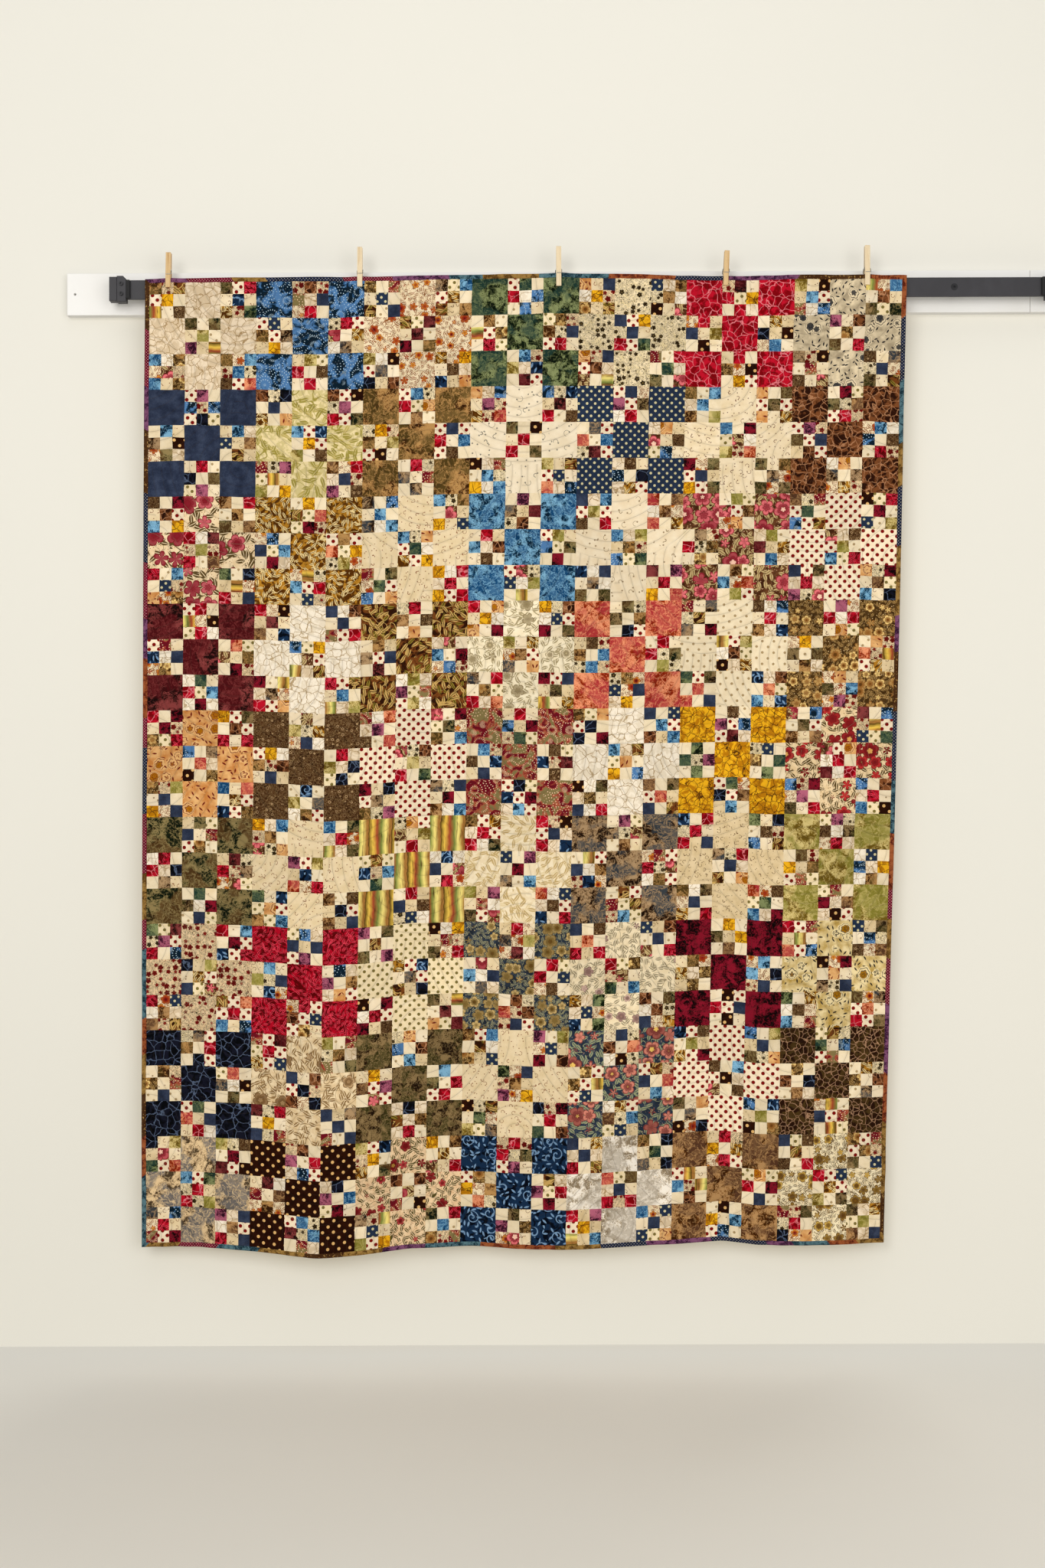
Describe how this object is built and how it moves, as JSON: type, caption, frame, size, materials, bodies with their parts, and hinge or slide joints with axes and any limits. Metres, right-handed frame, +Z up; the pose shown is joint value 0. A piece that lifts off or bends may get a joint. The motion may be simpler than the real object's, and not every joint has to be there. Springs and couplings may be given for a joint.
{
  "type": "quilt on a wall rail",
  "caption": "Scrap patchwork quilt pinned with wooden clothespins to a flat black steel rail that stands off a white header board on a wall.",
  "frame": {"origin": "on the wall plane, midway between the long header board's two wall-screw holes, level with the rail's centre line", "axes": "+Z up, +Y into the wall, +X to the viewer's right along the rail"},
  "size_m": [2.1966, 0.066, 2.109],
  "materials": {
    "white_painted_wood": "satin white paint",
    "black_steel": "fine textured black powder coat",
    "black_fastener": "black oxide",
    "stop_rubber": "matt",
    "pale_wood": "unfinished birch",
    "honey_wood": "aged birch",
    "spring_wire": "drawn wire",
    "patchwork_cotton": "quilted printed cotton",
    "batting": "needled cotton",
    "backing_cotton": "plain tone-on-tone cotton",
    "binding_cotton": "scrap-pieced folded cotton"
  },
  "bodies": {
    "rack": {"header_board_long": "white_painted_wood", "header_board_short": "white_painted_wood", "hem_backing": "backing_cotton", "hem_batting": "batting", "hem_binding": "binding_cotton", "hem_top": "patchwork_cotton", "rail": "black_steel", "rail_bolts": "black_fastener", "standoff_1": "black_steel", "standoff_2": "black_steel", "standoff_3": "black_steel", "standoff_4": "black_steel", "standoff_5": "black_steel"},
    "quilt": {"quilt_top": "patchwork_cotton", "quilt_batting": "batting", "quilt_backing": "backing_cotton", "quilt_binding": "binding_cotton"},
    "pin_1": {"pin_1_rear_lever": "honey_wood", "pin_1_spring_coil": "spring_wire"},
    "pin_1_front": {"pin_1_front_lever": "honey_wood", "pin_1_spring_arm": "spring_wire"},
    "pin_2": {"pin_2_rear_lever": "pale_wood", "pin_2_spring_coil": "spring_wire"},
    "pin_2_front": {"pin_2_front_lever": "pale_wood", "pin_2_spring_arm": "spring_wire"},
    "pin_3": {"pin_3_rear_lever": "pale_wood", "pin_3_spring_coil": "spring_wire"},
    "pin_3_front": {"pin_3_front_lever": "pale_wood", "pin_3_spring_arm": "spring_wire"},
    "pin_4": {"pin_4_rear_lever": "honey_wood", "pin_4_spring_coil": "spring_wire"},
    "pin_4_front": {"pin_4_front_lever": "honey_wood", "pin_4_spring_arm": "spring_wire"},
    "pin_5": {"pin_5_rear_lever": "pale_wood", "pin_5_spring_coil": "spring_wire"},
    "pin_5_front": {"pin_5_front_lever": "pale_wood", "pin_5_spring_arm": "spring_wire"},
    "stop_left": {"stop_left_block": "black_steel", "stop_left_bumper": "stop_rubber", "stop_left_clamp": "black_steel", "stop_left_screws": "black_fastener"},
    "stop_right": {"stop_right_block": "black_steel", "stop_right_bumper": "stop_rubber", "stop_right_clamp": "black_steel", "stop_right_screws": "black_fastener"}
  },
  "joints": [
    {"name": "quilt_swing", "type": "hinge", "parent": "rack", "child": "quilt", "pos_m": [-0.048, -0.0589, -0.0022], "axis": [-1, 0, 0], "range_deg": [0, 40]},
    {"name": "pin_1_lift", "type": "slide", "parent": "rack", "child": "pin_1", "axis": [0.0105, 0, 0.9999], "range_m": [0, 0.04]},
    {"name": "pin_1_squeeze", "type": "hinge", "parent": "pin_1", "child": "pin_1_front", "pos_m": [-0.79771, -0.05335, 0.039], "axis": [-0.9999, 0, 0.0105], "range_deg": [0, 6], "stiffness_Nm_per_rad": 0.3, "springref_deg": -34.38},
    {"name": "pin_2_lift", "type": "slide", "parent": "rack", "child": "pin_2", "axis": [0, 0, 1], "range_m": [0, 0.04]},
    {"name": "pin_2_squeeze", "type": "hinge", "parent": "pin_2", "child": "pin_2_front", "pos_m": [-0.396, -0.05335, 0.039], "axis": [-1, 0, 0], "range_deg": [0, 6], "stiffness_Nm_per_rad": 0.3, "springref_deg": -34.38},
    {"name": "pin_3_lift", "type": "slide", "parent": "rack", "child": "pin_3", "axis": [0, 0, 1], "range_m": [0, 0.04]},
    {"name": "pin_3_squeeze", "type": "hinge", "parent": "pin_3", "child": "pin_3_front", "pos_m": [0.021, -0.05335, 0.039], "axis": [-1, 0, 0], "range_deg": [0, 6], "stiffness_Nm_per_rad": 0.3, "springref_deg": -34.38},
    {"name": "pin_4_lift", "type": "slide", "parent": "rack", "child": "pin_4", "axis": [0.0523, 0, 0.9986], "range_m": [0, 0.04]},
    {"name": "pin_4_squeeze", "type": "hinge", "parent": "pin_4", "child": "pin_4_front", "pos_m": [0.37246, -0.05335, 0.03896], "axis": [-0.9986, 0, 0.0523], "range_deg": [0, 6], "stiffness_Nm_per_rad": 0.3, "springref_deg": -34.38},
    {"name": "pin_5_lift", "type": "slide", "parent": "rack", "child": "pin_5", "axis": [0.0087, 0, 1], "range_m": [0, 0.04]},
    {"name": "pin_5_squeeze", "type": "hinge", "parent": "pin_5", "child": "pin_5_front", "pos_m": [0.66824, -0.05335, 0.039], "axis": [-1, 0, 0.0087], "range_deg": [0, 6], "stiffness_Nm_per_rad": 0.3, "springref_deg": -34.38},
    {"name": "stop_left_slide", "type": "slide", "parent": "rack", "child": "stop_left", "axis": [1, 0, 0], "range_m": [0, 0.03]},
    {"name": "stop_right_slide", "type": "slide", "parent": "rack", "child": "stop_right", "axis": [1, 0, 0], "range_m": [-0.17, 0]}
  ]
}
